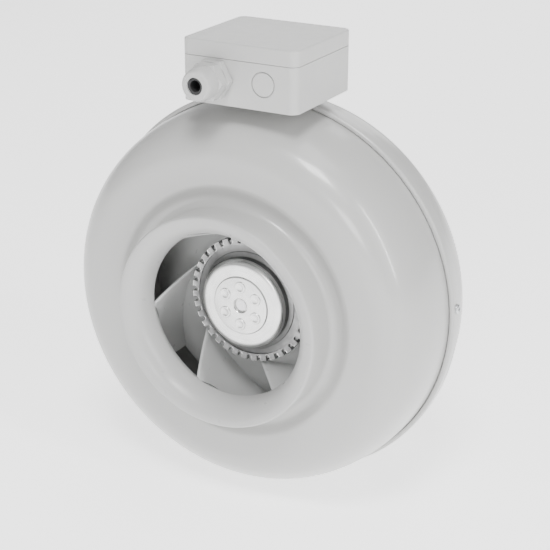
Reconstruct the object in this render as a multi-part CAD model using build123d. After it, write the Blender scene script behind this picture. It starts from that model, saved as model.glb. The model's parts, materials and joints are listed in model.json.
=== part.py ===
"""Inline duct fan for 160 mm round duct: a bulbous two-shell casing, an external-rotor motor
carrying a backward-curved wheel, and a terminal box with a cable gland on top.

Frame, in millimetres: the origin is the centre of the inlet mouth, +Y runs along the shaft with
the air, +Z points up to the terminal box. Angles about the shaft run from +X towards +Z.
"""
from build123d import *
from math import cos, pi, radians, sin, sqrt, tan
import os

# ---- driving dimensions ------------------------------------------------------------------
SPIGOT_R = 79.0          # outside of both spigots, for 160 mm duct
LENGTH = 153.0           # inlet mouth to outlet mouth
JOINT_Y = 81.0           # the inlet shell is widest here, where it meets the band
OUTLET_WAIST = 58.0      # the outlet shell is widest here, counted from the outlet mouth
CASING_R = 144.0         # outside of the casing at its widest
BAND_R = 147.8           # outside of the outlet shell's band
LIP_R = 144.7            # edge of the band's lip, turned in towards the inlet shell
LIP_ROLL = 2.0
SHEET = 1.2              # casing sheet
SHOULDER_R = 110.8       # where the casing's flat front turns into its round shoulder
FACE_DEPTH = 22.5        # flat front behind the mouth
CREST_R = 97.0           # outer end of the rise beside the groove round the spigot
GROOVE_R = 84.5          # bottom of that groove
GROOVE_DEPTH = 27.5
SPIGOT_WALL = 22.0       # straight part of the spigot
SHOULDER_PULL = 0.688    # fullness of the inlet shoulder's curve
OUTLET_PULL = 0.72
TONGUE_Y = 92.0          # end of the inlet shell under the band
BAND_EDGE = 71.4         # front of the band's lip, counted from the outlet mouth

THROAT_R = 62.5          # nozzle
THROAT_Y = 19.0
NOZZLE_END = 22.0
RIM_Y = 2.0              # nozzle rim that caps the spigot
RIM_ROLL = 1.8
SKIRT_END = 13.0         # nozzle's skirt inside the spigot

BRACKET_TURN = 4.0       # arms and casing screws are turned this much from the axes
SCREW_Y = 87.0           # casing screws on the band
MOTOR_SCREW_R = 26.0     # screws through bracket and flange
BOSS_R = 14.3            # bosses on the rotor's face

BLADES = 6
BLADE_TURN = 4.0         # first blade, where it passes the throat's radius
BLADE_T = 2.6
CAMBER = ((45.5, -36.0), (63.0, 0.0), (96.5, 39.0))   # radius and angle along a blade
EYE_R = 65.4             # inside of the shroud's front edge
PLATE = 1.8              # wheel's plastic sheet
WHEEL_R = 95.0
HUB_R = 48.6
ROTOR_R = 46.0
CAN_R = 34.0
FACE_Y = 40.0            # front of the rotor can
RING_R = 47.9            # toothed balancing ring
RING_TEETH = 36

BOX_X = 5.0              # centre of the terminal box
BOX_W, BOX_D = 89.0, 82.4
BOX_FRONT = 28.6
BOX_FLOOR, BOX_SPLIT, BOX_TOP = 150.6, 183.0, 194.0
BOX_WALL = 2.2
BOX_CORNER = 6.0
GLAND_X, ENTRY_Z = -13.3, 168.7
KNOCKOUT_X = 24.4
CABLE_R = 2.5            # motor cable
CABLE_Y = 103.0          # where it leaves the casing
CABLE_SIDE = 3.6         # its distance from the radial line beside the top arm
FLANGE_EXIT_Y = 92.0     # where it leaves the motor flange

BOX_Y = BOX_FRONT + BOX_D / 2
SADDLE_SCREWS = [(BOX_X + dx, y) for dx in (-22.5, 22.5) for y in (68.0, 99.0)]
CAPACITOR_R, CAPACITOR_X, CAPACITOR_Z = 13.0, 30.0, 171.5
CABLE_END = (-7.6, 161.2)
ENTRY_R = 9.95           # gland's M20 thread
GLAND_BORE = 6.85
GLAND_FRONT = 2.5        # front of the gland's nut
GLAND_FLATS, NUT_FLATS = 25.5, 24.0
PARTS = {}


# ---- helpers -----------------------------------------------------------------------------
def part(name, shape):
    """Keep a node's shape as its plain solids."""
    PARTS[name] = Compound(list(shape.solids()))


def ring(*points):
    """A closed outline of (radius, y) points, turned about the shaft."""
    return revolve(make_face(Polyline(*points, close=True)), Axis.Y)


def tube(inner, outer, y0, y1):
    return ring((inner, y0), (outer, y0), (outer, y1), (inner, y1))


def disc(radius, y0, y1):
    return ring((0, y0), (radius, y0), (radius, y1), (0, y1))


def slab(sketch, y0, y1):
    """A sketch in (x, z), stretched from y0 to y1."""
    return extrude(Plane.XZ.offset(-y1) * sketch, y1 - y0)


def turned(shape, angle):
    """Turned about the shaft, from +X towards +Z."""
    return Rot(0, -angle, 0) * shape


def beside_arm(shape):
    """Moved from the +X axis to the line that the motor cable follows beside the top arm."""
    return turned(Pos(0, 0, -CABLE_SIDE) * shape, 90 + BRACKET_TURN)


def around(shape, count, start=0.0):
    return [turned(shape, start + 360 / count * k) for k in range(count)]


def peg(radius, x0, x1, y, z=0.0):
    """A round bar along +X."""
    return Pos(x0, y, z) * Rot(0, 90, 0) * Cylinder(radius, x1 - x0, align=BASE)


def post(radius, x, y, z0, z1):
    """A round bar along +Z."""
    return Pos(x, y, z0) * Cylinder(radius, z1 - z0, align=BASE)


def block(x0, x1, y0, y1, z0, z1):
    return Pos(x0, y0, z0) * Box(x1 - x0, y1 - y0, z1 - z0, align=(Align.MIN,) * 3)


BASE = (Align.CENTER, Align.CENTER, Align.MIN)


def along_y(shape, x, z):
    """A body turned about the shaft, moved to another axis along Y."""
    return Pos(x, 0, z) * shape


# ---- casing ------------------------------------------------------------------------------
def casing_line(mouth, waist, pull, step):
    """One side of a shell's sheet as (radius, depth behind its mouth), step inside its outside."""
    rise = (GROOVE_R + CREST_R) / 2
    front, widest = FACE_DEPTH + step, CASING_R - step
    line = Line((SPIGOT_R - step, mouth), (SPIGOT_R - step, SPIGOT_WALL))
    line += JernArc((SPIGOT_R - step, SPIGOT_WALL), (0, 1), GROOVE_R - SPIGOT_R + step, -90)
    line += Bezier((GROOVE_R, GROOVE_DEPTH + step), (rise, GROOVE_DEPTH + step), (rise, front), (CREST_R, front))
    line += Line((CREST_R, front), (SHOULDER_R, front))
    line += Bezier(
        (SHOULDER_R, front),
        (SHOULDER_R + pull * (widest - SHOULDER_R), front),
        (widest, waist - pull * (waist - front)),
        (widest, waist),
    )
    return line


def inlet_side(step):
    """The inlet shell's line, with its straight edge under the band."""
    line = casing_line(RIM_Y + 0.1, JOINT_Y, SHOULDER_PULL, step)
    return line + Line((CASING_R - step, JOINT_Y), (CASING_R - step, TONGUE_Y))


def outlet_side(step):
    """The outlet shell's line: out to the band, along it, and in at its lip."""
    low, high = CASING_R - step, BAND_R - step
    near, far = OUTLET_WAIST, OUTLET_WAIST + 3.4
    line = casing_line(0, OUTLET_WAIST, OUTLET_PULL, step)
    line += Bezier((low, near), (low, near + 1.7), (high, far - 1.7), (high, far))
    line += Line((high, far), (high, BAND_EDGE - LIP_ROLL))
    line += JernArc((high, BAND_EDGE - LIP_ROLL), (0, 1), LIP_ROLL - step, 90)
    return line + Line((BAND_R - LIP_ROLL, BAND_EDGE - step), (LIP_R, BAND_EDGE - step))


def sheet(side):
    """A turned shell between the two sides of its sheet."""
    outside, inside = side(0), side(SHEET)
    outline = outside + inside
    outline += Line(outside @ 0, inside @ 0) + Line(outside @ 1, inside @ 1)
    return revolve(make_face(outline), Axis.Y)


def radial_holes(radius, y, start=BRACKET_TURN, count=4):
    return around(peg(radius, CASING_R - 10, BAND_R + 10, y), count, start)


def casing():
    inlet = sheet(inlet_side)
    outlet = mirror(sheet(outlet_side), Plane.XZ.offset(-LENGTH / 2))
    for hole in radial_holes(1.7, SCREW_Y):
        inlet -= hole
        outlet -= hole
    for x, y in SADDLE_SCREWS:
        inlet -= post(2.0, x, y, 130, 150)
        outlet -= post(2.0, x, y, 130, 150)
    outlet -= beside_arm(peg(6.0, CASING_R - 10, CASING_R + 10, CABLE_Y))
    part("inlet_shell", inlet)
    part("outlet_shell", outlet)
    seal_r = BAND_R - SHEET
    part("casing_seal", tube(CASING_R + 0.05, seal_r - 0.05, JOINT_Y + 2.6, JOINT_Y + 4.3))

    screw = peg(1.5, CASING_R - 9, BAND_R + 1, SCREW_Y) + screw_head(3.4, 1.9, BAND_R + 0.05, SCREW_Y)
    part("casing_screws", Compound(around(screw, 4, BRACKET_TURN)))


def screw_head(radius, height, x, y):
    """A pan head with a cross recess, facing +X."""
    head = Pos(x, y, 0) * Rot(0, 90, 0) * Cylinder(radius, height, align=BASE)
    head = fillet(head.edges().sort_by(Axis.X)[-1], height * 0.55)
    for turn in (0, 90):
        slot = Pos(x + height, y, 0) * Rot(turn, 0, 0) * Box(height, radius * 1.1, radius * 0.28)
        head -= slot
    return head


def nozzle():
    """Bell mouth: a rolled rim over the spigot's edge, an elliptic bell, and a skirt in the spigot."""
    wall = 1.8
    bell_r = SPIGOT_R - RIM_ROLL
    skirt_r = SPIGOT_R - SHEET - 0.1
    inner_r = THROAT_R + wall
    outline = JernArc((SPIGOT_R, RIM_ROLL), (0, -1), RIM_ROLL, -90)
    outline += quarter_ellipse((bell_r, THROAT_Y), bell_r - THROAT_R, THROAT_Y)
    outline += Polyline((THROAT_R, THROAT_Y), (THROAT_R, NOZZLE_END), (inner_r, NOZZLE_END), (inner_r, THROAT_Y))
    outline += quarter_ellipse((bell_r - wall, THROAT_Y), bell_r - wall - inner_r, THROAT_Y - wall)
    outline += Polyline((bell_r - wall, wall), (bell_r - wall, SKIRT_END), (skirt_r, SKIRT_END),
                        (skirt_r, RIM_Y), (SPIGOT_R, RIM_Y), (SPIGOT_R, RIM_ROLL))
    part("inlet_nozzle", revolve(make_face(outline), Axis.Y))


def quarter_ellipse(centre, a, b):
    """From straight in front of the centre round to its shaft side."""
    pull = 0.5523
    x, y = centre
    return Bezier((x, y - b), (x - pull * a, y - b), (x - a, y - pull * b), (x - a, y))


# ---- wheel and rotor ---------------------------------------------------------------------
def hub_line(step=0.0):
    return Bezier((HUB_R, 56.0 + step), (55.0, 67.0 + step), (74.0, 74.5 + step), (WHEEL_R, 76.5 + step))


def shroud_line(step=0.0):
    return Bezier((EYE_R + step, 20.0), (EYE_R + step, 33.0), (76.0, 41.0 - step), (WHEEL_R, 44.5 - step))


def wheel():
    """Hub plate with its collar, and the blades standing on it up to the shroud."""
    collar_r = ROTOR_R + 0.05
    back = hub_line() + Line((WHEEL_R, 76.5), (WHEEL_R, 76.5 + PLATE))
    back += hub_line(PLATE)
    back += Polyline((HUB_R, 56.0 + PLATE), (HUB_R, 79.0), (collar_r, 79.0), (collar_r, 58.5), (HUB_R, 56.0))
    fused = revolve(make_face(back), Axis.Y)

    # blades fill the channel between hub and shroud, behind a slanted leading edge
    root = hub_line(0.8)
    channel = root + Line(root @ 1, (WHEEL_R, 44.55)) + shroud_line(-0.05)
    channel += Polyline((EYE_R - 0.05, 20.0), (EYE_R - 0.3, 23.0), (EYE_R - 2.5, 23.0), (HUB_R, 54.0), root @ 0)
    space = revolve(make_face(channel), Axis.Y) & disc(WHEEL_R - 0.5, 10, 90)
    arc = ThreePointArc(*[(r * cos(radians(a)), r * sin(radians(a))) for r, a in CAMBER])
    blade = slab(trace(arc, BLADE_T), 18, 80) & space
    for one in around(blade, BLADES, BLADE_TURN):
        fused += one
    part("impeller_wheel", fused)

    skin = shroud_line() + Line((WHEEL_R, 44.5), (WHEEL_R, 44.5 - PLATE)) + shroud_line(PLATE)
    skin += Line((EYE_R + PLATE, 20.0), (EYE_R, 20.0))
    part("impeller_shroud", revolve(make_face(skin), Axis.Y))


def rotor():
    # die-cast can: stepped front, round shoulder, web, and the shell that carries the wheel
    shoulder = 5.0
    can = Polyline((4.0, 41.5), (5.4, 41.5), (5.4, 38.7), (21.8, 38.7), (22.6, 39.6), (CAN_R - shoulder, FACE_Y))
    can += ThreePointArc((CAN_R - shoulder, FACE_Y), (CAN_R - 1.5, FACE_Y + 1.6), (CAN_R, FACE_Y + shoulder))
    can += Polyline((CAN_R, FACE_Y + shoulder), (CAN_R, 50.0), (41.0, 53.0), (ROTOR_R, 53.0), (ROTOR_R, 86.0),
                    (44.6, 86.0), (44.6, 55.0), (CAN_R - 2.5, 55.0), (CAN_R - 2.5, 46.0), (28.0, 43.0),
                    (9.0, 43.0), (9.0, 49.0), (5.8, 50.0), (5.8, 51.85), (4.0, 51.85), (4.0, 41.5))
    housing = revolve(make_face(can), Axis.Y)
    for boss in around(along_y(disc(4.4, FACE_Y - 2.1, 42), BOSS_R, 0), 6, 30):
        housing += boss
    part("rotor_can", housing)

    band = tube(ROTOR_R + 0.05, RING_R, 51.5, 56.5)
    gap = Pos(RING_R - 0.4, 52.6, 0) * Box(2.6, 4.4, 4.6)
    for cut in around(gap, RING_TEETH):
        band -= cut
    part("balance_ring", band)
    part("rotor_core", tube(31.0, 44.5, 56.0, 84.0))
    groove = tube(3.6, 5.0, 91.05, 91.95)
    part("motor_shaft", disc(3.98, 40.0, 97.5) - groove)
    part("shaft_circlip", tube(3.65, 6.0, 91.1, 91.9))


# ---- stator, bearings and bracket --------------------------------------------------------
def stator():
    slots = 12
    core = slab(Circle(30.6) - Circle(14.0), 58, 82)
    winding = tube(18.8, 28.6, 51, 57.9) + tube(18.8, 28.6, 82.1, 88)
    for k in range(slots):
        pocket = [(18.6, -2.6), (28.8, -5.4), (28.8, 5.4), (18.6, 2.6)]
        slot = make_face(Polyline(*pocket, close=True)) + Pos(29.8, 0) * Rectangle(3.0, 2.2)
        core -= turned(slab(slot, 57, 83), 360 / slots * k)
        bar = [(18.9, -2.2), (28.5, -4.8), (28.5, 4.8), (18.9, 2.2)]
        winding += turned(slab(make_face(Polyline(*bar, close=True)), 57, 83), 360 / slots * k)
    part("stator_core", core)
    part("stator_winding", winding)

    # bearing tube, flange and the rim through which the cable leaves
    hub = ring((11.0, 51.0), (13.95, 51.0), (13.95, 89.0), (46.5, 89.0), (46.5, 95.0), (11.0, 95.0),
               (11.0, 92.1), (11.6, 92.1), (11.6, 91.1), (11.0, 91.1), (11.0, 83.9), (10.0, 83.9),
               (10.0, 60.3), (11.0, 60.3))
    hub -= beside_arm(peg(CABLE_R + 0.05, 34, 50, FLANGE_EXIT_Y))
    for hole in around(along_y(disc(2.05, 88, 96), MOTOR_SCREW_R, 0), 4, BRACKET_TURN + 45):
        hub -= hole
    part("stator_flange", hub)

    outer, inner, balls, cages = [], [], [], []
    for y in (51.9, 84.0):
        outer.append(tube(9.0, 10.98, y, y + 7))
        inner.append(tube(4.0, 6.0, y, y + 7))
        spots = around(Pos(7.5, y + 3.5, 0), 8)
        balls += [spot * Sphere(1.35) for spot in spots]
        cage = tube(6.6, 8.4, y + 3.9, y + 5.8)
        for spot in spots:
            cage -= spot * Sphere(1.45)
        cages.append(cage)
    part("bearing_outer_rings", Compound(outer))
    part("bearing_inner_rings", Compound(inner))
    part("bearing_balls", Compound(balls))
    part("bearing_cages", Compound(cages))
    part("bearing_retainer", tube(9.4, 11.5, 91.15, 92.05))
    part("preload_spring", tube(9.2, 10.8, 59.0, 60.2))


def bracket():
    """Centre plate with four edgewise arms; each ends in a tab behind a casing screw."""
    reach = CASING_R - SHEET - 0.3
    plate = tube(12, 52, 95.05, 97.0)
    profile = Polyline((49.5, 82), (49.5, 97), (125, 97), (136, TONGUE_Y), (reach - 0.5, TONGUE_Y),
                       (reach - 0.5, 82), close=True)
    arm = Pos(0, 0, -9) * extrude(make_face(profile), 2)
    tab = tube(reach - 1.8, reach, 82, TONGUE_Y) & block(100, 150, 80, 100, -9, 8)
    arm += tab - peg(1.6, 130, 150, SCREW_Y)
    for one in around(arm, 4, BRACKET_TURN):
        plate += one
    for hole in around(along_y(disc(2.2, 94, 98), MOTOR_SCREW_R, 0), 4, BRACKET_TURN + 45):
        plate -= hole
    part("motor_bracket", plate)


# ---- motor fasteners and cable -----------------------------------------------------------
def motor_fixings():
    screw = along_y(disc(2.0, 90, 97.05) + disc(3.6, 97.05, 99.2), 0, 0)
    for turn in (0, 90):
        screw -= Pos(0, 99.2, 0) * Rot(0, turn, 0) * Box(4.2, 2.2, 1.0)
    part("motor_screws", Compound(around(Pos(MOTOR_SCREW_R, 0, 0) * screw, 4, BRACKET_TURN + 45)))

    # flat against the arm, then back past the casing screw's tab and out of the casing
    route = [(36, FLANGE_EXIT_Y, 0), (108, FLANGE_EXIT_Y, 0), (126, CABLE_Y, 0), (161, CABLE_Y, 0)]
    part("motor_cable", beside_arm(cord(route, CABLE_R)))
    clip = peg(CABLE_R + 0.85, 0, 7, FLANGE_EXIT_Y) + block(0, 7, 89.5, 94.5, -3.35, -2.6)
    clip -= peg(CABLE_R + 0.05, -1, 8, FLANGE_EXIT_Y)
    part("cable_clips", Compound([beside_arm(Pos(r, 0, 0) * clip) for r in (60, 86)]))
    grommet = peg(6.9, 139.4, 140.9, CABLE_Y) + peg(5.9, 139.4, 146.0, CABLE_Y) + peg(7.4, 144.3, 146.0, CABLE_Y)
    part("cable_grommet", beside_arm(grommet - peg(CABLE_R + 0.05, 139, 148, CABLE_Y)))


def cord(route, radius):
    """A round cord along straight runs joined by the largest arcs that fit; prints the radii."""
    points = [Vector(*p) for p in route]
    radii = []
    for a, b, c in zip(points, points[1:], points[2:]):
        shorter = min((b - a).length, (c - b).length)
        half = radians((b - a).get_angle(c - b) / 2)
        radii.append(0.45 * shorter / tan(half))
    path = FilletPolyline(*points, radius=radii)
    body = sweep(Plane(path @ 0, z_dir=path % 0) * Circle(radius), path)
    print("cord radii", [round(r, 1) for r in radii], "volume", round(body.volume, 1),
          "section times length", round(pi * radius**2 * path.length, 1))
    return body


# ---- terminal box ------------------------------------------------------------------------
def box_outline(inset):
    plan = RectangleRounded(BOX_W - 2 * inset, BOX_D - 2 * inset, max(BOX_CORNER - inset, 0.8))
    return Pos(BOX_X, BOX_Y) * plan


def box_ring(outer, inner, z0, z1):
    return Pos(0, 0, z0) * extrude(box_outline(outer) - box_outline(inner), z1 - z0)


def box_solid(inset, z0, z1):
    return Pos(0, 0, z0) * extrude(box_outline(inset), z1 - z0)


def terminal_box():
    floor = BOX_FLOOR + BOX_WALL
    rim = BOX_SPLIT - 0.4
    base = box_ring(0, BOX_WALL, BOX_FLOOR, rim) + box_solid(0.5, BOX_FLOOR, floor)
    base -= along_y(disc(ENTRY_R + 0.1, 20, 40), GLAND_X, ENTRY_Z)
    base -= along_y(tube(8.0, 9.0, BOX_FRONT - 1, BOX_FRONT + 1), KNOCKOUT_X, ENTRY_Z)
    for x, y in SADDLE_SCREWS:
        base -= post(2.1, x, y, BOX_FLOOR - 1, floor + 1)
    base -= beside_arm(peg(CABLE_R + 0.5, 150, 157, CABLE_Y))
    part("terminal_box_base", base)

    lid = box_solid(0, BOX_SPLIT, BOX_TOP)
    lid = fillet(lid.faces().sort_by(Axis.Z)[-1].edges(), 1.2)
    lid -= box_solid(BOX_WALL, BOX_SPLIT - 1, BOX_TOP - BOX_WALL)
    lid += box_ring(BOX_WALL - 0.5, 3.8, BOX_SPLIT, BOX_SPLIT + 4)
    latch = block(-5, 5, 0, 1.4, 172, 190)
    for y in (BOX_FRONT + 3.5, BOX_FRONT + BOX_D - 4.9):
        lid += Pos(BOX_X + 1, y, 0) * latch
    part("terminal_box_lid", lid)
    part("lid_gasket", box_ring(0.7, 1.9, rim + 0.02, BOX_SPLIT - 0.02))

    saddle = block(BOX_X - 26, BOX_X + 26, 64, 105, 138, BOX_FLOOR - 0.05)
    saddle -= disc(CASING_R + 0.1, 50, 120) + disc(BAND_R + 0.1, JOINT_Y, JOINT_Y + 14.5)
    saddle -= beside_arm(peg(8.4, 135, 160, CABLE_Y))
    saddle -= turned(peg(4.2, 140, BOX_FLOOR - 0.5, SCREW_Y), 90 + BRACKET_TURN)
    screws = []
    for x, y in SADDLE_SCREWS:
        saddle -= post(2.1, x, y, 130, 160)
        screw = post(1.95, x, y, 136, floor) + post(3.6, x, y, floor + 0.05, floor + 2.3)
        for turn in (0, 90):
            screw -= Pos(x, y, floor + 2.3) * Rot(0, 0, turn) * Box(4.2, 1.0, 2.2)
        screws.append(screw + post(1.95, x, y, floor - 1, floor + 1))
    part("box_saddle", saddle)
    part("box_screws", Compound(screws))


def box_contents():
    floor = BOX_FLOOR + BOX_WALL + 0.05
    # four-way terminal block
    pitch = 8.0
    width = 4 * pitch
    left = -29.0
    front, back = 48.0, 61.0
    top = floor + 15
    body = block(left, left + width, front, back, floor, floor + 11)
    screws = []
    for k in range(4):
        x = left + pitch * (k + 0.5)
        body += block(x - 3.2, x + 3.2, front + 1.5, back - 1.5, floor + 10, top)
        for y in (front + 3.6, back - 3.6):
            body -= post(1.95, x, y, floor + 8, top + 1)
            screw = post(1.85, x, y, floor + 8, top - 1)
            screws.append(screw - Pos(x, y, top - 1) * Box(4, 0.7, 1.6))
        body -= slab(Pos(x, floor + 4.5) * Circle(1.5), front - 1, back + 1)
    part("terminal_block", body)
    part("terminal_screws", Compound(screws))

    cap = along_y(disc(CAPACITOR_R, 44, 98), CAPACITOR_X, CAPACITOR_Z)
    cap = fillet(cap.edges().filter_by(GeomType.CIRCLE), 1.5)
    for x in (-3.5, 3.5):
        cap += block(CAPACITOR_X + x - 0.4, CAPACITOR_X + x + 0.4, 39, 44.5, CAPACITOR_Z - 3, CAPACITOR_Z + 3)
    part("run_capacitor", cap)
    clip = along_y(tube(CAPACITOR_R + 0.05, CAPACITOR_R + 1.1, 79, 89), CAPACITOR_X, CAPACITOR_Z)
    clip -= block(CAPACITOR_X - 9, CAPACITOR_X + 9, 78, 90, CAPACITOR_Z, CAPACITOR_Z + 20)
    foot = block(CAPACITOR_X - 6, CAPACITOR_X + 6, 79, 89, floor, CAPACITOR_Z - 10)
    clip += foot - along_y(disc(CAPACITOR_R + 0.05, 78, 90), CAPACITOR_X, CAPACITOR_Z)
    part("capacitor_clip", clip)

    # cores of the motor cable, from its end to the terminals, and the capacitor's two leads
    x0, z0 = CABLE_END
    leads = []
    for k, (dx, dy) in enumerate(((-1.2, -0.7), (1.2, -0.7), (0.0, 1.2))):
        x = left + pitch * (k + 0.5)
        z = floor + 4.5
        route = [(x0 + dx, CABLE_Y + dy, z0), (x0 + dx, CABLE_Y + dy, z0 + 5 + 2 * k),
                 (x - 0.5 - k, 84, z0 + 8 + 2 * k), (x, 70, z), (x, back + 0.1, z)]
        leads.append(cord(route, 0.9))
    part("motor_leads", Compound(leads))
    taps = []
    for k, dx in ((1, -3.5), (2, 3.5)):
        x = left + pitch * (k + 0.5)
        z = floor + 4.5
        route = [(CAPACITOR_X + dx, 38.9, CAPACITOR_Z), (CAPACITOR_X + dx, 34.5, CAPACITOR_Z),
                 (13 + dx / 2, 36, CAPACITOR_Z + 4 + 2 * k), (2 + k, 42, CAPACITOR_Z + 6),
                 (x + 1, 42.5, z + 8), (x, front - 0.1, z)]
        taps.append(cord(route, 0.8))
    part("capacitor_leads", Compound(taps))


# ---- cable gland -------------------------------------------------------------------------
def hexagon(across_flats, y0, y1, inner):
    body = slab(RegularPolygon(across_flats / sqrt(3), 6) - Circle(inner), y0, y1)
    chamfered = ring((0, y0), (across_flats / 2, y0), (across_flats / 2 + 2, y0 + 1.2),
                     (across_flats / 2 + 2, y1), (0, y1))
    return body & chamfered


def gland():
    front = BOX_FRONT
    seat = front - 0.6
    inside = front + BOX_WALL
    body = hexagon(GLAND_FLATS, seat - 5.2, seat, GLAND_BORE) + tube(GLAND_BORE, ENTRY_R, seat, inside + 8)
    body += tube(GLAND_BORE, 9.4, seat - 14, seat - 5)
    place = Pos(GLAND_X, 0, ENTRY_Z)
    part("gland_body", place * body)
    part("gland_face_seal", place * tube(ENTRY_R + 0.1, 12.2, seat + 0.02, front - 0.02))
    lock = mirror(hexagon(24, -inside - 4.6, -inside - 0.05, ENTRY_R + 0.05), Plane.XZ)
    part("gland_locknut", place * lock)

    nut_back = seat - 5.6
    dome_r = NUT_FLATS / 2 - 0.2
    dome_back = nut_back - 7
    nut = hexagon(NUT_FLATS, nut_back - 8, nut_back, 9.5)
    dome = Bezier((dome_r, dome_back), (dome_r, dome_back - 7), (dome_r - 0.6, GLAND_FRONT), (9.0, GLAND_FRONT))
    dome += Polyline((9.0, GLAND_FRONT), (6.0, GLAND_FRONT), (6.0, GLAND_FRONT + 2.2), (9.5, GLAND_FRONT + 6),
                     (9.5, dome_back), (dome_r, dome_back))
    nut += revolve(make_face(dome), Axis.Y)
    part("gland_nut", place * nut)
    part("gland_slip_washer", place * tube(7.1, 9.2, GLAND_FRONT + 6.3, GLAND_FRONT + 7.1))
    nose = GLAND_FRONT + 1
    sleeve = ring((4.0, nose), (5.6, nose), (5.6, nose + 1.8), (6.6, nose + 2.8), (6.6, seat - 6), (4.0, seat - 6))
    part("gland_seal", place * sleeve)


def main():
    os.makedirs("parts", exist_ok=True)
    casing()
    nozzle()
    wheel()
    rotor()
    stator()
    bracket()
    motor_fixings()
    terminal_box()
    box_contents()
    gland()
    for name, shape in PARTS.items():
        export_step(shape, f"parts/{name}.step")


main()
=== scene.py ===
"""Looks of the inline duct fan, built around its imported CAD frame.

Outlines are written in millimetres as (radius, y) about the shaft, and every mesh is made in
metres in the CAD frame: origin at the inlet mouth, +Y with the air, +Z up to the terminal box.
"""
import json
from math import acos, atan2, cos, hypot, pi, radians, sin

import bmesh
import bpy
from mathutils import Matrix, Vector


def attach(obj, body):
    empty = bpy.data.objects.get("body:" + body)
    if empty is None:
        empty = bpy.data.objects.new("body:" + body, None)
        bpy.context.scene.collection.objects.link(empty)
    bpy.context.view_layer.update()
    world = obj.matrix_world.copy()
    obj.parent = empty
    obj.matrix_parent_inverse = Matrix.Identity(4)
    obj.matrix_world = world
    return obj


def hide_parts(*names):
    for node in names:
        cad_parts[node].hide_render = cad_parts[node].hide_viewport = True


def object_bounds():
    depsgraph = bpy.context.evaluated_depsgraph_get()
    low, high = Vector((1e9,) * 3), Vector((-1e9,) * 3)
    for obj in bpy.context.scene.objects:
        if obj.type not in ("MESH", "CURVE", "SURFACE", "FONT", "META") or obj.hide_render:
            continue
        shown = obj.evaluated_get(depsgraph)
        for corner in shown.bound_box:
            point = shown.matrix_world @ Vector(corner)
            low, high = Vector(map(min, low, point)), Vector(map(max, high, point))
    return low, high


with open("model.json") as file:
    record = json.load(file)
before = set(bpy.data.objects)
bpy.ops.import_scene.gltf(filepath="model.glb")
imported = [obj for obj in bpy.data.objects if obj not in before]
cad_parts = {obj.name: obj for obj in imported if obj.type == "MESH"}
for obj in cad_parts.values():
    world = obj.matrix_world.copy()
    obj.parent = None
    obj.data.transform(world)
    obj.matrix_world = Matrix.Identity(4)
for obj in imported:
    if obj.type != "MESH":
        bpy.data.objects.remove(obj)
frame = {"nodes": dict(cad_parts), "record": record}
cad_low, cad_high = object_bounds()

MM = 0.001

# ---- sizes of the turned pieces, as in the CAD model; only the lip stands 0.3 mm nearer ----
SPIGOT_R, LENGTH, JOINT_Y, OUTLET_WAIST = 79.0, 153.0, 81.0, 58.0
CASING_R, BAND_R, LIP_R, LIP_ROLL, SHEET = 144.0, 147.8, 144.4, 2.0, 1.2
SHOULDER_R, FACE_DEPTH, CREST_R = 110.8, 22.5, 97.0
GROOVE_R, GROOVE_DEPTH, SPIGOT_WALL = 84.5, 27.5, 22.0
SHOULDER_PULL, OUTLET_PULL = 0.688, 0.72
TONGUE_Y, BAND_EDGE = 92.0, 71.4
THROAT_R, THROAT_Y, NOZZLE_END = 62.5, 19.0, 22.0
RIM_Y, RIM_ROLL, SKIRT_END, NOZZLE_WALL = 2.0, 1.8, 13.0, 1.8
BLADES, BLADE_TURN, BLADE_T = 6, 4.0, 2.6
CAMBER = ((45.5, -36.0), (63.0, 0.0), (96.5, 39.0))
WHEEL_R, HUB_R, EYE_R, PLATE = 95.0, 48.6, 65.4, 1.8
ROTOR_R, CAN_R, FACE_Y = 46.0, 34.0, 40.0
BOSS_R, BOSSES = 14.3, 6
RING_R, RING_TEETH = 47.9, 36


# ---- outlines ----
def bezier(a, b, c, d, count=16):
    """Points of a cubic curve, both ends in."""
    points = []
    for k in range(count + 1):
        t = k / count
        s = 1 - t
        w = (s**3, 3 * s * s * t, 3 * s * t * t, t**3)
        points.append(tuple(sum(w[j] * p[i] for j, p in enumerate((a, b, c, d))) for i in (0, 1)))
    return points


def arc(centre, radius, start, end, count=10):
    """Points of a round stretch between two angles in degrees."""
    steps = [radians(start + (end - start) * k / count) for k in range(count + 1)]
    return [(centre[0] + radius * cos(a), centre[1] + radius * sin(a)) for a in steps]


def casing_line(mouth, waist, pull, step):
    """One side of a shell's sheet as (radius, depth behind its mouth)."""
    rise = (GROOVE_R + CREST_R) / 2
    front, widest = FACE_DEPTH + step, CASING_R - step
    line = [(SPIGOT_R - step, mouth), (SPIGOT_R - step, (mouth + SPIGOT_WALL) / 2)]
    line += arc((GROOVE_R, SPIGOT_WALL), GROOVE_R - SPIGOT_R + step, 180, 90)
    low = GROOVE_DEPTH + step
    line += bezier((GROOVE_R, low), (rise, low), (rise, front), (CREST_R, front))[1:]
    line += bezier(
        (SHOULDER_R, front),
        (SHOULDER_R + pull * (widest - SHOULDER_R), front),
        (widest, waist - pull * (waist - front)),
        (widest, waist), 40)
    return line


def shell_outline(outside, inside, far_edge, mouth):
    """A shell's closed outline from its two sides and the rounded edge at their far end."""
    half = SHEET / 2
    near_edge = arc((SPIGOT_R - half, mouth), half, 180, 360, 6)[1:-1]
    return outside + far_edge[1:-1] + inside[::-1] + near_edge


def inlet_outline():
    half = SHEET / 2
    mouth = RIM_Y + 0.1 + half
    sides = [casing_line(mouth, JOINT_Y, SHOULDER_PULL, step) + [(CASING_R - step, TONGUE_Y - half)]
             for step in (0, SHEET)]
    return shell_outline(*sides, arc((CASING_R - half, TONGUE_Y - half), half, 0, 180, 6), mouth)


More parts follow.
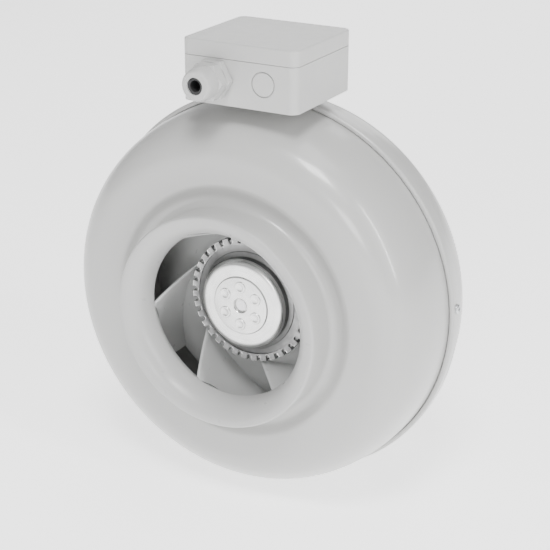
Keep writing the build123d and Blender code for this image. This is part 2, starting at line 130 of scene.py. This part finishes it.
def outlet_outline():
    """Out to the band, along it, round its roll and in at the lip."""
    half = SHEET / 2
    near, far = OUTLET_WAIST, OUTLET_WAIST + 3.4
    sides = []
    for step in (0, SHEET):
        low, high = CASING_R - step, BAND_R - step
        line = casing_line(half, OUTLET_WAIST, OUTLET_PULL, step)
        line += bezier((low, near), (low, near + 1.7), (high, far - 1.7), (high, far), 10)[1:]
        line += arc((BAND_R - LIP_ROLL, BAND_EDGE - LIP_ROLL), LIP_ROLL - step, 0, 90, 8)
        sides.append(line + [(LIP_R + half, BAND_EDGE - step)])
    outline = shell_outline(*sides, arc((LIP_R + half, BAND_EDGE - half), half, 90, 270, 6), half)
    return [(r, LENGTH - y) for r, y in outline]


def hub_line(step=0.0, count=20):
    """Front of the hub plate, from the collar out to the rim."""
    points = (HUB_R, 56.0 + step), (55.0, 67.0 + step), (74.0, 74.5 + step), (WHEEL_R, 76.5 + step)
    return bezier(*points, count)


def shroud_line(step=0.0, count=20):
    """Back of the shroud, from the eye out to the rim."""
    points = (EYE_R + step, 20.0), (EYE_R + step, 33.0), (76.0, 41.0 - step), (WHEEL_R, 44.5 - step)
    return bezier(*points, count)


# ---- mesh helpers ----
def build(name, verts, faces, sharp=32):
    """A closed mesh from points in millimetres, smooth but for its corners."""
    mesh = bpy.data.meshes.new(name)
    mesh.from_pydata([Vector(v) * MM for v in verts], [], faces)
    bm = bmesh.new()
    bm.from_mesh(mesh)
    bmesh.ops.remove_doubles(bm, verts=bm.verts, dist=0.00002)
    bmesh.ops.recalc_face_normals(bm, faces=bm.faces)
    bm.to_mesh(mesh)
    bm.free()
    mesh.polygons.foreach_set("use_smooth", [True] * len(mesh.polygons))
    mesh.set_sharp_from_angle(angle=radians(sharp))
    piece = bpy.data.objects.new(name, mesh)
    bpy.context.scene.collection.objects.link(piece)
    return piece


def turn_points(outline, segments, centre=(0.0, 0.0)):
    """Vertices and faces of a closed outline turned about an axis along Y; r = 0 is allowed."""
    verts, faces, n = [], [], len(outline)
    for k in range(segments):
        a = 2 * pi * k / segments
        verts += [(centre[0] + r * cos(a), y, centre[1] + r * sin(a)) for r, y in outline]
    for k in range(segments):
        here, there = k * n, (k + 1) % segments * n
        for i in range(n):
            j = (i + 1) % n
            if outline[i][0] > 0 or outline[j][0] > 0:
                faces.append((here + i, here + j, there + j, there + i))
    return verts, faces


def lathe(name, outline, segments=256, sharp=32):
    return build(name, *turn_points(outline, segments), sharp)


def join_lists(*meshes):
    """Several (vertices, faces) as one."""
    verts, faces = [], []
    for v, f in meshes:
        base = len(verts)
        verts += v
        faces += [tuple(base + i for i in face) for face in f]
    return verts, faces


def dress(piece, body, slot, material, *nodes):
    """Finish, body and replaced CAD nodes of a piece."""
    piece.data.materials.append(material)
    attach(piece, body)
    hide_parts(*nodes)
    return piece


# ---- materials ----
class Shader:
    """A procedural Principled material, built up in object space (metres)."""

    def __init__(self, name, roughness, metallic=0.0, **sockets):
        self.material = bpy.data.materials.new(name)
        self.material.use_nodes = True
        self.nodes = self.material.node_tree.nodes
        self.links = self.material.node_tree.links
        self.bsdf = self.nodes["Principled BSDF"]
        self.bsdf.inputs["Roughness"].default_value = roughness
        self.bsdf.inputs["Metallic"].default_value = metallic
        for socket, value in sockets.items():
            self.bsdf.inputs[socket.replace("_", " ")].default_value = value
        self.place = self.nodes.new("ShaderNodeTexCoord").outputs["Object"]
        self.normal = None

    def math(self, operation, a, b=0.0):
        node = self.nodes.new("ShaderNodeMath")
        node.operation = operation
        for socket, value in zip(node.inputs, (a, b)):
            if isinstance(value, (int, float)):
                socket.default_value = value
            else:
                self.links.new(value, socket)
        return node.outputs[0]

    def stretched(self, scale):
        node = self.nodes.new("ShaderNodeMapping")
        node.inputs["Scale"].default_value = scale
        self.links.new(self.place, node.inputs["Vector"])
        return node.outputs[0]

    def rings(self, across=1.0, along=0.2):
        """Coordinates that change only with the distance from the shaft and along it."""
        split = self.nodes.new("ShaderNodeSeparateXYZ")
        self.links.new(self.place, split.inputs[0])
        x, y, z = split.outputs
        r = self.math("SQRT", self.math("ADD", self.math("MULTIPLY", x, x), self.math("MULTIPLY", z, z)))
        join = self.nodes.new("ShaderNodeCombineXYZ")
        self.links.new(self.math("MULTIPLY", r, across), join.inputs[0])
        self.links.new(self.math("MULTIPLY", y, along), join.inputs[1])
        return join.outputs[0]

    def noise(self, scale, detail=3.0, rough=0.5, vector=None):
        node = self.nodes.new("ShaderNodeTexNoise")
        node.inputs["Scale"].default_value = scale
        node.inputs["Detail"].default_value = detail
        node.inputs["Roughness"].default_value = rough
        self.links.new(vector or self.place, node.inputs["Vector"])
        return node.outputs["Fac"]

    def spread(self, fac, low, high):
        """A factor's middle range, spread from low to high."""
        node = self.nodes.new("ShaderNodeMapRange")
        node.inputs["From Min"].default_value = 0.3
        node.inputs["From Max"].default_value = 0.7
        node.inputs["To Min"].default_value = low
        node.inputs["To Max"].default_value = high
        self.links.new(fac, node.inputs["Value"])
        return node.outputs[0]

    def colour(self, fac, dark, light):
        node = self.nodes.new("ShaderNodeMix")
        node.data_type = "RGBA"
        node.inputs["A"].default_value = (*dark, 1)
        node.inputs["B"].default_value = (*light, 1)
        self.links.new(self.spread(fac, 0.0, 1.0), node.inputs["Factor"])
        self.links.new(node.outputs["Result"], self.bsdf.inputs["Base Color"])
        return self

    def roughness(self, fac, low, high):
        self.links.new(self.spread(fac, low, high), self.bsdf.inputs["Roughness"])
        return self

    def bump(self, fac, depth, strength=1.0):
        """depth is the bump's height in metres."""
        node = self.nodes.new("ShaderNodeBump")
        node.inputs["Strength"].default_value = strength
        node.inputs["Distance"].default_value = depth
        self.links.new(fac, node.inputs["Height"])
        if self.normal:
            self.links.new(self.normal, node.inputs["Normal"])
        self.normal = node.outputs["Normal"]
        self.links.new(self.normal, self.bsdf.inputs["Normal"])
        return self


def shade(colour, factor):
    return tuple(min(1.0, c * factor) for c in colour)


def powder_coat(name, colour):
    """Semi-gloss powder coat: fine orange peel under a soft gloss, with faint cloudiness."""
    s = Shader(name, 0.3, Coat_Weight=0.45, Coat_Roughness=0.12)
    s.colour(s.noise(9, 4), shade(colour, 0.985), shade(colour, 1.01))
    s.roughness(s.noise(60, 4), 0.29, 0.36)
    return s.bump(s.noise(520, 2, 0.4), 0.00002, 0.5).bump(s.noise(2400, 2), 0.000004, 0.5)


def plastic(name, colour, roughness=0.45, grain=1500, depth=0.00001):
    """Moulded plastic with a fine spark-eroded grain."""
    s = Shader(name, roughness)
    s.colour(s.noise(22, 4), shade(colour, 0.97), shade(colour, 1.02))
    s.roughness(s.noise(140, 3), roughness - 0.05, roughness + 0.06)
    return s.bump(s.noise(grain, 3, 0.6), depth, 0.6)


def rubber(name, colour=(0.02, 0.02, 0.021)):
    s = Shader(name, 0.62)
    s.colour(s.noise(90, 4), shade(colour, 0.8), shade(colour, 1.3))
    s.roughness(s.noise(240, 3), 0.55, 0.72)
    return s.bump(s.noise(1800, 3), 0.00001, 0.6)


def turned_metal(name, colour, roughness=0.28, groove=0.000006):
    """Lathe-turned metal: fine rings round the shaft and a faint cloudiness."""
    s = Shader(name, roughness, 1.0)
    rings = s.noise(4200, 3, 0.65, s.rings())
    s.colour(s.noise(110, 4), shade(colour, 0.9), shade(colour, 1.05))
    s.roughness(rings, roughness - 0.08, roughness + 0.12)
    return s.bump(rings, groove, 0.8)


def cast_metal(name, colour, roughness=0.45):
    """Die-cast or plated metal with a pebbled skin and stains."""
    s = Shader(name, roughness, 1.0)
    s.colour(s.noise(60, 5, 0.6), shade(colour, 0.72), shade(colour, 1.08))
    s.roughness(s.noise(300, 4), roughness - 0.1, roughness + 0.14)
    return s.bump(s.noise(900, 4, 0.6), 0.00004, 0.5)


def galvanised(name, colour=(0.62, 0.63, 0.64)):
    """Zinc-coated sheet: large spangles with their own tone, and rolling marks."""
    s = Shader(name, 0.34, 1.0)
    cells = s.nodes.new("ShaderNodeTexVoronoi")
    cells.inputs["Scale"].default_value = 170
    s.links.new(s.place, cells.inputs["Vector"])
    tone = s.nodes.new("ShaderNodeSeparateColor")
    s.links.new(cells.outputs["Color"], tone.inputs[0])
    s.colour(tone.outputs[0], shade(colour, 0.84), shade(colour, 1.08))
    s.roughness(tone.outputs[1], 0.28, 0.44)
    return s.bump(s.noise(700, 3, 0.5, s.stretched((1, 0.15, 1))), 0.00001, 0.5)


def laminated(name, colour=(0.16, 0.155, 0.15)):
    """A stack of half-millimetre laminations along the shaft, oiled and slightly rusty."""
    s = Shader(name, 0.4, 1.0)
    sheets = s.nodes.new("ShaderNodeTexWave")
    sheets.bands_direction = "Y"
    sheets.inputs["Scale"].default_value = 320
    sheets.inputs["Distortion"].default_value = 0.4
    s.links.new(s.place, sheets.inputs["Vector"])
    s.colour(s.noise(80, 5), shade(colour, 0.7), (0.22, 0.17, 0.13))
    s.roughness(s.noise(200, 3), 0.32, 0.55)
    return s.bump(sheets.outputs["Fac"], 0.00008, 0.6)


def wound_copper(name):
    """Enamelled wire laid side by side."""
    s = Shader(name, 0.3, 0.85, Coat_Weight=0.5, Coat_Roughness=0.15)
    wires = s.nodes.new("ShaderNodeTexWave")
    wires.bands_direction = "DIAGONAL"
    wires.inputs["Scale"].default_value = 380
    wires.inputs["Distortion"].default_value = 1.2
    s.links.new(s.place, wires.inputs["Vector"])
    s.colour(wires.outputs["Fac"], (0.28, 0.09, 0.035), (0.62, 0.25, 0.11))
    return s.bump(wires.outputs["Fac"], 0.0003, 0.7)


CASING_GREY = (0.42, 0.42, 0.412)
FINISH = {
    "casing_paint": powder_coat("powder_coat", CASING_GREY),
    "nozzle_plastic": plastic("nozzle_moulding", (0.42, 0.42, 0.415), 0.32),
    "wheel_plastic": plastic("wheel_moulding", (0.48, 0.485, 0.48), 0.32),
    "box_plastic": plastic("box_moulding", (0.45, 0.45, 0.443), 0.4, 1300, 0.00002),
    "saddle_plastic": plastic("saddle_moulding", (0.34, 0.34, 0.336), 0.5),
    "gland_plastic": plastic("gland_moulding", (0.42, 0.42, 0.415), 0.34),
    "slip_plastic": plastic("slip_moulding", (0.8, 0.8, 0.78), 0.3),
    "black_rubber": rubber("black_rubber"),
    "die_cast": cast_metal("die_cast", (0.62, 0.62, 0.61)),
    "ring_steel": cast_metal("ring_metal", (0.85, 0.85, 0.84), 0.3),
    "core_steel": laminated("laminations"),
    "ground_steel": turned_metal("ground_steel", (0.72, 0.72, 0.73), 0.2, 0.000003),
    "cage_steel": cast_metal("cage_steel", (0.6, 0.57, 0.52), 0.35),
    "spring_steel": cast_metal("spring_steel", (0.13, 0.13, 0.14), 0.4),
    "zinc_steel": galvanised("zinc_sheet"),
    "winding_copper": wound_copper("copper_wire"),
    "cable_sheath": plastic("cable_sheath", (0.035, 0.035, 0.038), 0.42, 600, 0.00001),
    "clip_plastic": plastic("clip_moulding", (0.05, 0.05, 0.052), 0.5),
    "block_plastic": plastic("block_moulding", (0.75, 0.75, 0.71), 0.4),
    "capacitor_plastic": plastic("capacitor_case", (0.78, 0.78, 0.75), 0.25),
    "lead_plastic": plastic("lead_sheath", (0.03, 0.1, 0.42), 0.4, 600),
    "tap_plastic": plastic("tap_sheath", (0.04, 0.04, 0.042), 0.4, 600),
}
PAINTED = {name: shader.material for name, shader in FINISH.items()}
TURNED_FACE = turned_metal("turned_face", (0.84, 0.84, 0.83), 0.3).material
# painted light: pale grey seal rubber that lightens the shaded gaps at the joints
SEAL_PAINTED_LIGHT = rubber("seal_painted_light", (0.3, 0.3, 0.295)).material
# painted shade: a darker copy of the cast metal for the rotor web and the ring body, where shadow falls
PAINTED_SHADE_CAST = cast_metal("painted_shade_cast", (0.36, 0.36, 0.36), 0.42).material

for part in frame["record"]["subparts"]:
    node = frame["nodes"][part["node"]]
    node.data.materials.clear()
    node.data.materials.append(PAINTED[part["material_slot"]])


for name in ("lid_gasket", "casing_seal"):   # the seals that line a joint are made pale grey, painted light that lifts the shade in the joint gaps
    frame["nodes"][name].data.materials[0] = SEAL_PAINTED_LIGHT


# ---- camera ----
def camera():
    """A long lens, about 29 degrees round from the inlet's front and 22 degrees up."""
    azimuth, elevation, roll = radians(28.65), radians(21.75), radians(0.23)
    back = Vector((sin(azimuth) * cos(elevation), -cos(azimuth) * cos(elevation), sin(elevation)))
    right = Vector((cos(azimuth), sin(azimuth), 0))
    up = back.cross(right)
    side = right * cos(roll) + up * sin(roll)
    data = bpy.data.cameras.new("camera")
    data.lens, data.sensor_width = 97.8, 36
    data.clip_start, data.clip_end = 0.01, 30
    eye = bpy.data.objects.new("camera", data)
    eye.matrix_world = Matrix.Translation(Vector((498.0, -820.6, 420.3)) * MM) @ Matrix(
        (side, back.cross(side), back)).transposed().to_4x4()
    bpy.context.scene.collection.objects.link(eye)
    bpy.context.scene.camera = eye


# ---- light and floor ----
def panel(name, place, target, size, power):
    data = bpy.data.lights.new(name, "AREA")
    data.shape, (data.size, data.size_y), data.energy = "RECTANGLE", size, power
    lamp = bpy.data.objects.new(name, data)
    lamp.location = place
    lamp.rotation_euler = (Vector(place) - Vector(target)).to_track_quat("Z", "Y").to_euler()
    bpy.context.scene.collection.objects.link(lamp)


def studio():
    world = bpy.data.worlds.new("studio")
    bpy.context.scene.world = world
    world.use_nodes = True
    world.node_tree.nodes["Background"].inputs["Color"].default_value = (1, 1, 1, 1)
    world.node_tree.nodes["Background"].inputs["Strength"].default_value = 0.42
    middle = (0, 0.09, 0)
    panel("key", (0.5, -1.0, 1.9), middle, (0.6, 0.6), 40)
    panel("fill", (0.7, -2.3, 0.7), (0, 0.05, 0), (0.6, 0.6), 20)
    panel("strip", (1.5, -0.4, 0.8), middle, (0.07, 1.2), 16)
    panel("top", (0.1, 0.3, 1.9), middle, (1.4, 0.8), 12)
    panel("rear", (-0.6, 2.0, 1.0), middle, (1.4, 1.4), 14)

    base = cad_low[2] - 0.0005
    bpy.ops.mesh.primitive_plane_add(size=24, location=(0, 0, base))
    floor = bpy.context.object
    floor.name = "studio_floor"
    s = Shader("studio_paper", 0.9)
    s.colour(s.noise(3, 3), (0.93, 0.93, 0.93), (0.95, 0.95, 0.95))
    s.bsdf.inputs["Emission Color"].default_value = (1, 1, 1, 1)
    s.bsdf.inputs["Emission Strength"].default_value = 1.5
    floor.data.materials.append(s.material)


# ---- casing and nozzle ----
def casing():
    inlet = lathe("inlet_shell_skin", inlet_outline(), 320)
    dress(inlet, "fan_body", "casing_paint", PAINTED["casing_paint"], "inlet_shell")
    outlet = lathe("outlet_shell_skin", outlet_outline(), 320)
    dress(outlet, "fan_body", "casing_paint", PAINTED["casing_paint"], "outlet_shell")


def nozzle():
    wall, bell_r = NOZZLE_WALL, SPIGOT_R - RIM_ROLL
    skirt_r, inner_r = SPIGOT_R - SHEET - 0.1, THROAT_R + NOZZLE_WALL
    lip = wall / 2
    front = [(bell_r + (THROAT_R - bell_r) * cos(a), THROAT_Y * (1 - sin(a)))
             for a in [pi / 2 * (1 - k / 32) for k in range(33)]]
    behind = [(bell_r - wall + (inner_r - bell_r + wall) * cos(a), THROAT_Y + (wall - THROAT_Y) * sin(a))
              for a in [pi / 2 * k / 28 for k in range(29)]]
    outline = arc((bell_r, RIM_ROLL), RIM_ROLL, 0, -90, 10) + front[1:]
    outline += arc((THROAT_R + lip, NOZZLE_END - lip), lip, 180, 0, 10) + behind
    outline += [(bell_r - wall, SKIRT_END - 0.3), (bell_r - wall + 0.3, SKIRT_END),
                (skirt_r - 0.3, SKIRT_END), (skirt_r, SKIRT_END - 0.3),
                (skirt_r, RIM_Y), (SPIGOT_R - 0.15, RIM_Y), (SPIGOT_R, RIM_Y - 0.1)]
    piece = lathe("nozzle_skin", outline, 288)
    dress(piece, "fan_body", "nozzle_plastic", PAINTED["nozzle_plastic"], "inlet_nozzle")


# ---- wheel ----
def circle_through(a, b, c):
    """Centre and radius of the circle through three points of the plane."""
    ax, ay, bx, by, cx, cy = *a, *b, *c
    d = 2 * (ax * (by - cy) + bx * (cy - ay) + cx * (ay - by))
    ux = ((ax**2 + ay**2) * (by - cy) + (bx**2 + by**2) * (cy - ay) + (cx**2 + cy**2) * (ay - by)) / d
    uy = ((ax**2 + ay**2) * (cx - bx) + (bx**2 + by**2) * (ax - cx) + (cx**2 + cy**2) * (bx - ax)) / d
    return (ux, uy), hypot(ax - ux, ay - uy)


def camber_point(radius, centre, size):
    """Where the camber arc crosses a radius about the shaft, and the arc's outward normal there."""
    far = hypot(*centre)
    spread = (radius**2 - far**2 - size**2) / (2 * size * far)
    angle = atan2(centre[1], centre[0]) - acos(max(-1.0, min(1.0, spread)))
    x, z = centre[0] + size * cos(angle), centre[1] + size * sin(angle)
    return (x, z), (cos(angle), sin(angle))


def along(points, radius):
    """Height of a rising line of (radius, y) points at a radius."""
    for (r0, y0), (r1, y1) in zip(points, points[1:]):
        if r0 <= radius <= r1:
            return y0 + (y1 - y0) * (radius - r0) / max(r1 - r0, 1e-6)
    return points[-1][1]


# thickness stations along a blade: (share of its length, share of its half thickness)
BLADE_STATIONS = [(0.0, 0.0), (0.002, 0.3), (0.006, 0.52), (0.013, 0.74), (0.022, 0.89), (0.034, 0.98)]
BLADE_STATIONS += [(0.05, 1.0)]
BLADE_STATIONS += [(0.05 + 0.93 * k / 14, 1.0 - 0.3 * (k / 14) ** 2) for k in range(1, 15)] + [(1.0, 0.35)]


def blade_points(turn, centre, size):
    """One blade: rounded leading edge slanted from hub to eye, backward-curved to the rim."""
    last = WHEEL_R - 0.5
    hub, eye = hub_line(0.8, 60), shroud_line(-0.05, 60)
    rows = 9
    verts, faces = [], []
    count = len(BLADE_STATIONS)
    for v in range(rows):
        share = v / (rows - 1)
        for side in (1, -1):
            for u, thick in BLADE_STATIONS:
                low_r = HUB_R + 0.1 + (last - HUB_R - 0.1) * u
                high_r = EYE_R - 2.6 + (last - EYE_R + 2.6) * u
                low_y = along(hub, low_r)
                inset = EYE_R - high_r   # inside the eye the blade's front edge stands free
                high_y = 22.9 - 1.4 * (1 - inset / 2.6) if inset > 0 else along(eye, high_r)
                radius = low_r + (high_r - low_r) * share
                y = low_y + (high_y - low_y) * share
                (x, z), (nx, nz) = camber_point(radius, centre, size)
                half = side * thick * BLADE_T / 2
                verts.append((x + nx * half, y, z + nz * half))
    loop = 2 * count
    for v in range(rows - 1):
        for s in range(2):
            for k in range(count - 1):
                a = v * loop + s * count + k
                faces.append((a, a + 1, a + loop + 1, a + loop))
        end = v * loop + count - 1
        faces.append((end, end + count, end + count + loop, end + loop))
    for v in (0, rows - 1):
        for k in range(count - 1):
            a = v * loop + k
            faces.append((a, a + 1, a + count + 1, a + count))
    c, s = cos(radians(turn)), sin(radians(turn))
    return [(x * c - z * s, y, x * s + z * c) for x, y, z in verts], faces


def wheel():
    collar = ROTOR_R + 0.05
    back = hub_line()[:-1] + arc((WHEEL_R - 0.9, 76.5 + PLATE / 2 - 0.05), PLATE / 2, -80, 80, 6)
    back += hub_line(PLATE)[::-1][1:]
    back += [(HUB_R, 60.0), (HUB_R, 78.6), (HUB_R - 0.4, 79.0),
             (collar, 79.0), (collar, 58.5), (HUB_R - 0.6, 56.3)]
    flat = [(r * cos(radians(a)), r * sin(radians(a))) for r, a in CAMBER]
    centre, size = circle_through(*flat)
    blades = [blade_points(BLADE_TURN + 360 / BLADES * k, centre, size) for k in range(BLADES)]
    piece = build("wheel_skin", *join_lists(turn_points(back, 256), *blades), 40)
    dress(piece, "impeller", "wheel_plastic", PAINTED["wheel_plastic"], "impeller_wheel")

    outer = shroud_line(PLATE)[::-1]
    rim = arc((WHEEL_R - 0.9, 44.5 - PLATE / 2), PLATE / 2, 80, -80, 6)
    lip = arc((EYE_R + PLATE / 2, 20.9), PLATE / 2, 0, -180, 8)
    ring = shroud_line()[2:-1] + rim + outer[1:-1] + lip
    piece = lathe("shroud_skin", ring, 256)
    dress(piece, "impeller", "wheel_plastic", PAINTED["wheel_plastic"], "impeller_shroud")


# ---- rotor ----
def rotor():
    """Turned can face with its raised disc and bosses, and the cast web behind in painted shade, a darker
    copy of the metal.
    """
    front = [(4.0, 41.5), (5.2, 41.5), (5.4, 41.2), (5.4, 39.1), (5.8, 38.7), (20.9, 38.7), (21.5, 38.85),
             (21.9, 39.3), (22.3, 39.75), (23.0, 39.75), (CAN_R - 6.0, FACE_Y)]
    front += bezier((CAN_R - 5.0, FACE_Y), (CAN_R - 1.8, FACE_Y + 0.1), (CAN_R - 0.1, FACE_Y + 1.8),
                    (CAN_R, FACE_Y + 5.0), 10)
    step = [(CAN_R, 49.6), (CAN_R + 0.5, 50.1), (37.0, 51.2), (37.4, 51.9), (40.6, 53.0), (ROTOR_R, 53.0)]
    rest = [(ROTOR_R, 85.6), (ROTOR_R - 0.4, 86.0), (44.6, 86.0), (44.6, 55.0), (31.5, 55.0), (31.5, 46.0),
            (28.0, 43.0), (9.0, 43.0), (9.0, 49.0), (5.8, 50.0), (5.8, 51.85), (4.0, 51.85)]
    shapes = [turn_points(front + step + rest, 192)]
    for k in range(BOSSES):
        a = radians(30 + 360 / BOSSES * k)
        boss = [(0, 38.25), (2.3, 38.25), (2.6, 38.1), (2.9, 37.95), (3.7, 37.9), (4.1, 38.0), (4.4, 38.3),
                (4.4, 39.5), (0, 39.5)]
        shapes.append(turn_points(boss, 40, (BOSS_R * cos(a), BOSS_R * sin(a))))
    can = build("rotor_skin", *join_lists(*shapes), 28)
    dress(can, "impeller", "die_cast", TURNED_FACE, "rotor_can")
    # faces off the turned face take the painted shade material
    can.data.materials.append(PAINTED_SHADE_CAST)
    for face in can.data.polygons:
        middle = sum((can.data.vertices[i].co for i in face.vertices), Vector()) / len(face.vertices)
        if hypot(middle.x, middle.z) > (CAN_R + 0.2) * MM or middle.y > 46 * MM:
            face.material_index = 1


def pocket_line(grow):
    """The ring's outside, with a round-bottomed pocket between every two teeth."""
    half, floor_r = 1.75 + grow, 45.25
    outline = []
    for k in range(RING_TEETH):
        mid = 360 / RING_TEETH * k
        for a in range(0, 181, 20):
            r = floor_r - half * sin(radians(a)) if 0 < a < 180 else RING_R - grow
            outline.append((r, mid - half * cos(radians(a)) / RING_R * 57.3))
        outline.append((RING_R - grow, mid + 180 / RING_TEETH))
    return outline


def toothed_ring():
    """Ring body in painted shade, a darkened copy of the cast metal; the ring's own metal runs round its
    pockets and teeth as a bright rim.
    """
    inner, y0, y1 = 42.4, 51.3, 56.4
    verts, faces = [], []
    outer = pocket_line(0)
    n = len(outer)
    for outline, y in ((pocket_line(0.5), y0 + 0.12), (pocket_line(0.3), y0), (outer, y0 + 0.3), (outer, y1)):
        verts += [(r * cos(radians(a)), y, r * sin(radians(a))) for r, a in outline]
    for y in (y1, y0 + 0.12):
        verts += [(inner * cos(radians(a)), y, inner * sin(radians(a))) for r, a in outer]
    for level in range(6):
        here, there = level * n, (level + 1) % 6 * n
        faces += [(here + i, here + (i + 1) % n, there + (i + 1) % n, there + i) for i in range(n)]
    ring = build("toothed_ring_skin", verts, faces, 35)
    dress(ring, "impeller", "ring_steel", PAINTED["ring_steel"], "balance_ring")
    # painted shade on every face off the rim band
    ring.data.materials.append(PAINTED_SHADE_CAST)
    for face in ring.data.polygons:
        rim = any(ring.data.vertices[i].co.y < (y0 + 0.05) * MM for i in face.vertices)
        face.material_index = 0 if rim else 1


# ---- soft edges on the CAD pieces that show as they are ----
def soften():
    """A small rounded edge on moulded and plated pieces."""
    for names, width in (
        (("terminal_box_lid", "terminal_box_base", "box_saddle"), 0.4),
        (("gland_body", "gland_nut", "gland_locknut"), 0.35),
        (("motor_bracket", "stator_flange", "terminal_block"), 0.25),
    ):
        for name in names:
            bevel = frame["nodes"][name].modifiers.new("soft_edge", "BEVEL")
            bevel.width, bevel.segments = width * MM, 2
            bevel.limit_method, bevel.angle_limit = "ANGLE", radians(35)


camera()
studio()
casing()
nozzle()
wheel()
rotor()
toothed_ring()
soften()
